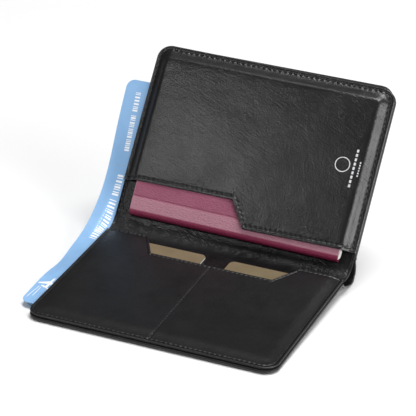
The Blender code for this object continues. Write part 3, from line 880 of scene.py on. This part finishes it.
def leather(name, dark, light, rough, grain, crease, index=1.5, pucker=0.0, slant=0.6):
    """Smooth-grained black leather: mottled dye, fine pebbles, drawn creases, and lighter rubbed edges and
    painted sheen where the mesh's lightening attribute asks for them.
    """
    n = Nodes(name)
    dark, light = grey(dark, 1.1), grey(light, 1.08)
    place = n.uv()
    colour = n.ramp(n.noise(place, 5.0, 5.0, 0.6, 0.6), dark, light)
    # made lighter on rubbed edges, and as a painted sheen where the lining's fold ends catch the light
    scuff_and_sheen = n.maths("MULTIPLY", n.fact("wear_and_sheen"), n.remap(n.noise(place, 90.0, 3.0), 0.35, 1.0), clamp=True)
    colour = n.mix(scuff_and_sheen, colour, tuple(0.014 + 2.4 * c for c in light))
    warp = n.noise(place, 60.0, 2.0, 0.5, output="Color")
    moved = n.add("ShaderNodeVectorMath", {0: warp, "Scale": 0.003}, operation="SCALE").outputs[0]
    warped = n.add("ShaderNodeVectorMath", {0: place, 1: moved}, operation="ADD").outputs[0]
    turned = n.uv(turn=math.radians(24))
    drawn = n.add("ShaderNodeMapping", {"Vector": turned, "Scale": (20.0, 100.0, 1.0)}).outputs["Vector"]
    where = n.remap(n.noise(place, 3.2, 3.0, 0.5, 0.3), -1.1, 2.1)
    lines = n.maths("MULTIPLY", n.noise(drawn, 1.0, 3.0, 0.55, 0.25), where)
    normal = n.bump(n.noise(place, 20.0, 2.0, 0.5), 0.42 * crease, 0.0004)
    normal = n.bump(lines, 0.75 * crease, 0.0003, normal)
    normal = n.bump(n.cells(warped, 110.0), 0.18 * grain, 0.0004, normal)
    normal = n.bump(n.noise(place, 330.0, 3.0, 0.6), 0.2 * grain, 0.0002, normal)
    if pucker:
        colour, normal = puckers(n, colour, normal, pucker, slant)
    roughness = n.remap(n.noise(place, 7.0, 2.0), rough - 0.05, rough + 0.09)
    roughness = n.maths("SUBTRACT", roughness, n.maths("MULTIPLY", scuff_and_sheen, 0.1), clamp=True)
    return n.set(Base_Color=colour, Roughness=roughness, Normal=normal, IOR=index)


def puckers(n, colour, normal, strength, slant):
    """Needle holes between the stitches, painted near black as shade, and the leather drawn up beside them.
    """
    off = n.fact("seam_off")
    phase = n.maths("ADD", n.fact("seam_phase"), n.maths("MULTIPLY", off, -0.34 * slant))
    wave = n.maths("COSINE", n.maths("MULTIPLY", phase, 2 * math.pi))
    square = n.maths("POWER", off, 2.0)
    near, tight = (n.maths("POWER", math.e, n.maths("MULTIPLY", square, -narrow)) for narrow in (1.1, 4.0))
    normal = n.bump(n.maths("MULTIPLY", wave, near), strength, 0.00022, normal)
    # painted shade: the leather is made near black in each needle's pit
    painted_hole_shade = n.maths("MULTIPLY", n.maths("SUBTRACT", n.maths("MULTIPLY", wave, -1.6), 0.5, True), tight, True)
    return n.mix(painted_hole_shade, colour, (0.001, 0.001, 0.001)), normal


def grained(name, dark, light, blotch, rough, bump, fibre=None, places=(0.3, 0.7), **more):
    """A material of blotchy tone and fine fibres, from a noise's settings for each of the two."""
    n = Nodes(name)
    tone = n.ramp(n.noise(n.object_place(), *blotch), dark, light, places)
    height = n.noise(n.object_place(), *(fibre or blotch))
    return n.set(Base_Color=tone, Roughness=n.remap(height, *rough), Normal=n.bump(height, *bump), **more)


def thread_material(name, dark, light, blotch, rough, relief):
    """Waxed thread with a twist."""
    tones = (grey(dark), grey(light))
    return grained(name, *tones, (blotch, 2), rough, (relief, 0.0002), (2600, 2), (0.35, 0.65))


def booklet_material():
    """Burgundy leatherette with a pressed grain, paler on its rubbed edges, with a painted sheen on the
    hinge band and painted shade at the spine.
    """
    n = Nodes("burgundy_leatherette")
    place = n.uv()
    creases = n.noise(n.uv((1.0, 1.9, 1.0), math.radians(-18)), 62.0, 4.0, 0.62, 0.5)
    tone = n.ramp(n.noise(place, 8.0, 4.0), (0.255, 0.065, 0.114), (0.30, 0.084, 0.14))
    # paler on rubbed edges, and a painted sheen on the hinge band
    tone = n.mix(n.maths("MULTIPLY", n.fact("wear_and_sheen"), 0.8), tone, (0.55, 0.31, 0.37))
    tone = n.mix(n.remap(creases, -0.05, 0.25), tone, (0.38, 0.15, 0.21))
    # painted shade: dark burgundy where the cover turns down round the spine
    tone = n.mix(n.fact("spine"), tone, (0.175, 0.012, 0.048))
    normal = n.bump(n.cells(place, 150.0), 0.3, 0.0003, n.bump(creases, 0.75, 0.0006))
    roughness = n.remap(n.noise(place, 60.0, 4.0), 0.38, 0.52)
    return n.set(Base_Color=tone, Roughness=roughness, Normal=normal, IOR=1.4)


def gold_material():
    """Muted gold print with a brushed grain, under a thin clear coat."""
    n = Nodes("gold_card_print")
    grain = n.noise(n.uv((1.0, 9.0, 1.0)), 160.0, 3.0)
    tone = n.ramp(n.noise(n.uv(), 9.0, 3.0), (0.165, 0.125, 0.066), (0.205, 0.156, 0.087))
    tone = n.mix(n.remap(grain, 0.0, 0.22), tone, (0.27, 0.215, 0.13))
    n.set(Base_Color=tone, Roughness=n.remap(grain, 0.34, 0.5), Normal=n.bump(grain, 0.05, 0.0001))
    return n.set(Metallic=0.25, Coat_Weight=0.2, Coat_Roughness=0.2)


def ticket_material():
    """Coated blue ticket card."""
    n = Nodes("blue_ticket_card")
    fibre = n.noise(n.uv(), 260.0, 4.0, 0.65)
    tone = n.ramp(n.noise(n.uv(), 10.0, 5.0), (0.214, 0.412, 0.69), (0.248, 0.456, 0.74))
    tone = n.mix(n.remap(fibre, 0.0, 0.14), tone, (0.42, 0.62, 0.86))
    return n.set(Base_Color=tone, Roughness=n.remap(fibre, 0.45, 0.6), Normal=n.bump(fibre, 0.12, 0.0002))


def dress(obj, *materials):
    """Replaces an object's materials."""
    obj.data.materials.clear()
    for material in materials:
        obj.data.materials.append(material)
    return obj


# ---- building
PANEL_LEATHER = leather("panel_leather", 0.005, 0.010, 0.30, 0.8, 1.0, pucker=0.36)
CARD_LEATHER = leather("card_pocket_leather", 0.005, 0.009, 0.32, 0.5, 0.6, 1.37, 0.2, 0.1)
LINING_LEATHER = leather("lining_leather", 0.003, 0.0075, 0.24, 0.8, 1.4, 1.27)
OUTER_LEATHER = leather("outer_leather", 0.006, 0.012, 0.34, 1.0, 0.9)
THREAD = thread_material("waxed_thread", 0.01, 0.026, 300, (0.42, 0.62), 0.4)
GREY_THREAD = thread_material("grey_thread", 0.03, 0.065, 260, (0.45, 0.7), 0.6)


def ride(obj, body, slot, *nodes):
    """Fixes a piece to one body and hides the CAD nodes that it stands for; its slot is not used."""
    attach(obj, body)
    if nodes:
        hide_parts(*nodes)


def bend(obj, side, slot, nodes=(), outer=None, middle=(SPINE_MID, 0)):
    """Hides the CAD nodes of a piece of one half and bakes its placement into its mesh. The two spine-frame
    (y, z) places are worked out, but nothing is blended between them.
    """
    if nodes:
        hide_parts(*nodes)
    reach = 3.2 * math.cos(FOLD)
    outer = outer or (-reach if side < 0 else SPINE_WIDTH + reach, 0)
    outer, middle = (SPINE @ (Vector((0, *place)) * METRES) for place in (outer, middle))
    if side < 0:
        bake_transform(obj)
        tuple(outer)
        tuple(middle)
    else:
        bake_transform(obj)
        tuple(middle)
        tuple(outer)


def make_covers():
    for side, half in HALVES:
        obj = dress(outer_leather(f"outer_leather_{half}", side), OUTER_LEATHER)
        nodes = (f"cover_{half}", "spine_outer")
        bend(obj, side, "outer_leather", nodes, cover_place(COVER_START[side], side), LOOP_POINTS[2])


def make_linings():
    for side, half in HALVES:
        obj = dress(lining(f"lining_leather_{half}", side), LINING_LEATHER)
        bend(obj, side, "lining_leather", (f"lining_{half}", "spine_lining"))


def make_pass():
    blue = ticket_material()
    for side, half in HALVES:
        obj = dress(boarding_pass(f"boarding_pass_{half}", side), blue)
        bend(obj, side, "pass_paper", ("boarding_pass",))


def make_print():
    """Bars in two rows, a small aeroplane and some lines, all plain white, and two perforations.

    Places are millimetres from the pass's left edge and along it from the spine's middle.
    """
    patches, count = [], 49
    for first, last, tall in (((9.25, 42.0), (8.25, 76.0), 3.0), ((7.75, -17.0), (9.5, 28.0), 3.9)):
        rhythm = [RANDOM.choice((1, 2)) for _ in range(count)]
        rhythm[2 * (count // 3) + 1] = 5
        patches += bars_along(first, last, tall, rhythm)
    fuselage = ((6.0, -76.3), (6.7, -66.0), (7.9, -65.2), (7.5, -76.5))
    wings = [((6.9, -69.0), (6.6, -72.2), (0.9, -73.2), (1.0, -72.1)),
             ((7.3, -69.4), (7.0, -72.0), (11.3, -74.4), (11.5, -73.4))]
    tail = [((6.5, -74.8), (6.3, -76.6), (3.5, -75.2), (3.5, -74.3)),
            ((6.9, -74.8), (6.9, -76.6), (8.7, -77.9), (8.9, -77.0))]
    trails = ((1.35, -89.0, 1.5, -76.0), (3.8, -86.5, 0.35, -76.8), (8.3, -86.0, 0.35, -80.0))
    trails = [((x, y), (x + 0.35, y), (x + 0.35 + lean, end), (x + lean, end)) for x, y, lean, end in trails]
    patches = np.array([*patches, fuselage, *wings, *tail, *trails])
    white = grained("white_ticket_print", (0.84, 0.87, 0.92), (0.93, 0.94, 0.96), (2400, 4), (0.45, 0.6),
                    (0.05, 0.0001))
    for side, half in HALVES:
        mine = [patch for patch in patches if patch[:, 1].mean() * side > 0]
        bend(dress(pass_print(f"pass_print_{half}", mine), white), side, "pass_paper")
    holes = np.array([((u, 33.3), (u + 1.6, 33.3), (u + 1.6, 33.75), (u, 33.75)) for u in (4.3, 8.7)])
    core = grained("ticket_core", (0.34, 0.33, 0.36), (0.46, 0.44, 0.46), (1500, 3), (0.7, 0.9), (0.3, 1e-4))
    bend(dress(pass_print("pass_perforation", holes), core), 1, "pass_paper")


def make_panels():
    seams = [(RIM_ROUTE_UPPER, RIM_STITCH[0]), (MOUTH_ROUTE, MOUTH_STITCH[0])]
    upper = panel("passport_pocket_leather", 1, passport_mouth, passport_surface, MOUTH_SEAM, MOUTH_STEP_X,
                  0.24, seams)
    ride(dress(upper, PANEL_LEATHER), "upper_half", "panel_leather", "passport_panel")
    corners = [sign * c for c in NOTCH_X for sign in (-1, 1)] + [-1.6, 0, 1.6]
    seams = [(RIM_ROUTE_LOWER, FINE_STITCH[0]), (NOTCH_ROUTE, FINE_STITCH[0])]
    lower = panel("card_pocket_leather", -1, card_mouth, card_surface, NOTCH_SEAM, corners, 0.07, seams)
    ride(dress(lower, CARD_LEATHER), "lower_half", "panel_leather", "card_panel")


def make_seams():
    """The five seams: side, route, stitch, thickness in mm, slant, thread and CAD node of each."""
    def upper_height(x, reach):
        on_panel = reach > passport_mouth(x) + 0.4
        return np.where(on_panel, passport_surface(x, reach) - STITCH_SUNK, LINING_TOP - 0.1)

    def lower_height(x, reach):
        return card_surface(x, reach) - STITCH_SUNK

    for name, side, route, stitch, thick, slant, thread, node in (
        ("rim_seam_upper", 1, RIM_ROUTE_UPPER, RIM_STITCH, 0.52, 0.36, THREAD, "thread_rim_upper"),
        ("mouth_seam_upper", 1, MOUTH_ROUTE, MOUTH_STITCH, 0.52, 0.34, THREAD, "thread_passport_mouth"),
        ("rim_seam_lower", -1, RIM_ROUTE_LOWER, FINE_STITCH, 0.34, 0.12, THREAD, "thread_rim_lower"),
        ("notch_seam_lower", -1, NOTCH_ROUTE, FINE_STITCH, 0.32, 0.1, GREY_THREAD, "thread_card_mouth"),
        ("divider_seam_lower", -1, DIVIDER_ROUTE, FINE_STITCH, 0.32, 0.1, GREY_THREAD, "thread_divider"),
    ):
        height, body = (upper_height, "upper_half") if side > 0 else (lower_height, "lower_half")
        obj = stitches(name, side, route, height, *stitch, thick, slant)
        ride(dress(obj, thread), body, "thread", node)


def make_contents():
    cover = dress(passport_cover("booklet_cover"), booklet_material())
    ride(cover, "passport", "passport_cover", "passport_cover")
    tones = ((0.78, 0.78, 0.74), (0.88, 0.88, 0.85))
    paper = grained("page_paper", *tones, (500, 3), (0.75, 0.9), (0.2, 0.0001), (1800, 3))
    ride(dress(passport_pages("booklet_pages"), paper), "passport", "passport_pages", "passport_pages")
    gold = gold_material()
    core = grained("card_core", grey(0.74, 0.99), grey(0.84, 0.99), (700, 2), (0.4, 0.55), (0.02, 0.0001))
    up = LOWER.to_3x3().col[2]
    for name, sign in (("card_left", -1), ("card_right", 1)):
        obj = dress(card(f"{name}_plastic", sign * CARD_CENTRE), gold, core)
        for face in obj.data.polygons:
            face.material_index = 0 if abs(face.normal.dot(up)) > 0.3 else 1
        ride(obj, name, "card", name)


def make_foil():
    """A plain pressed ring and two rows of blocks, in place of a mark."""
    x0, r0 = 51.6, 55.0
    turns = 2 * math.pi * np.arange(40) / 40
    rings = [np.stack([x0 + r * np.cos(turns), r0 + r * np.sin(turns)], -1) for r in (4.3, 3.8)]
    points = [*rings[0], *rings[1]]
    after = (np.arange(40) + 1) % 40
    faces = [(j, n, 40 + n, 40 + j) for j, n in enumerate(after.tolist())]
    for count, pitch, size, left, right in ((9, 2.5, 1.7, 6.0, 7.2), (6, 1.5, 0.95, 9.2, 10.0)):
        for k in range(count):
            near = r0 + (k - (count - 1) / 2) * pitch - 1.0 - size / 2
            block = rounded_rectangle(x0 + left, x0 + right, near, near + size, 0.2, 3)
            faces.append(tuple(range(len(points), len(points) + len(block))))
            points += [*block]
    px, pr = np.array(points).T
    obj = build("foil_motif", on_half(1, px, pr, passport_surface(px, pr) + 0.02), faces)
    thick = obj.modifiers.new("thickness", "SOLIDIFY")
    thick.thickness = 0.00005
    thick.offset = 0
    tones = (grey(0.62, 1.016), grey(0.85, 1.012))
    foil = grained("pressed_foil", *tones, (1400, 3), (0.3, 0.5), (0.2, 0.0001), Metallic=0.3)
    ride(dress(obj, foil), "upper_half", "panel_leather")


def dress_cad_nodes():
    """Grey-brown pressed board, and the rough flesh side of the leather behind the lining."""
    board = grained("pressed_board", (0.24, 0.2, 0.15), (0.38, 0.33, 0.25), (160, 4), (0.75, 0.95),
                    (0.4, 0.0003), (900, 4, 0.7))
    suede = grained("flesh_side_leather", grey(0.014), grey(0.03), (120, 3), (0.65, 0.9), (0.4, 0.0003),
                    (1500, 4, 0.7))
    for _, half in HALVES:
        dress(frame["nodes"][f"stiffener_{half}"], board)
        dress(frame["nodes"][f"backing_{half}"], suede)


# ---- camera, floor and light
def make_camera():
    """The camera stands in front, a little to the right and above, with a long lens."""
    azimuth, elevation, roll = math.radians(22.7), math.radians(27.9), math.radians(0.9)
    distance, target = 1.307, Vector((-0.0118, 0.003914, 0.02285))
    turn = Matrix.Rotation(azimuth, 4, "Z") @ Matrix.Rotation(math.pi / 2 - elevation, 4, "X")
    pose = Matrix.Translation(target) @ turn @ Matrix.Rotation(roll, 4, "Z")
    data = bpy.data.cameras.new("camera")
    data.sensor_width = 36.0
    data.lens = 207.6923
    data.clip_end = 10
    camera = link("camera", data)
    camera.matrix_world = LOWER @ pose @ Matrix.Translation((0, 0, distance))
    bpy.context.scene.camera = camera


def make_stage():
    bpy.ops.mesh.primitive_plane_add(size=6, location=(0, 0, -0.0002))
    floor = bpy.context.object
    floor.name = "floor"
    n = Nodes("pale_floor")
    tone = n.ramp(n.noise(n.object_place(), 2.0, 2.0), (0.9, 0.9, 0.9), (0.915, 0.915, 0.915))
    dress(floor, n.set(Base_Color=tone, Roughness=0.9, Specular_IOR_Level=0.1))


def area_light(name, place, target, size, power):
    data = bpy.data.lights.new(name, "AREA")
    data.shape = "RECTANGLE"
    data.size, data.size_y = size
    data.energy = power
    light = link(name, data)
    light.location = place
    light.visible_camera = False
    light.rotation_euler = (Vector(target) - Vector(place)).to_track_quat("-Z", "Y").to_euler()


def make_light():
    """A high softbox a little behind for the table, a low box on the right and a small key front left."""
    scene = bpy.context.scene
    scene.world = bpy.data.worlds.new("studio")
    scene.world.use_nodes = True
    background = scene.world.node_tree.nodes["Background"]
    background.inputs["Color"].default_value = (1, 1, 1, 1)
    background.inputs["Strength"].default_value = 0.10
    area_light("softbox_high", (0.5, 0.9, 4.85), (0, 0, 0), (2.6, 2.6), 226)
    area_light("softbox_right", (1.0, -0.3, 0.44), (0.05, 0.03, 0.05), (0.6, 0.7), 9.5)
    area_light("key_front_left", (-0.215, -0.273, 0.338), (-0.05, 0.02, 0.03), (0.11, 0.11), 0.365)
    area_light("small_box_behind_left", (-0.36, 0.5, 0.85), (0, 0, 0), (0.3, 0.3), 0.1)
    scene.view_settings.view_transform = "Standard"
    scene.view_settings.look = "None"


make_camera()
make_stage()
make_light()
make_covers()
make_linings()
make_pass()
make_print()
make_panels()
make_seams()
make_contents()
make_foil()
dress_cad_nodes()
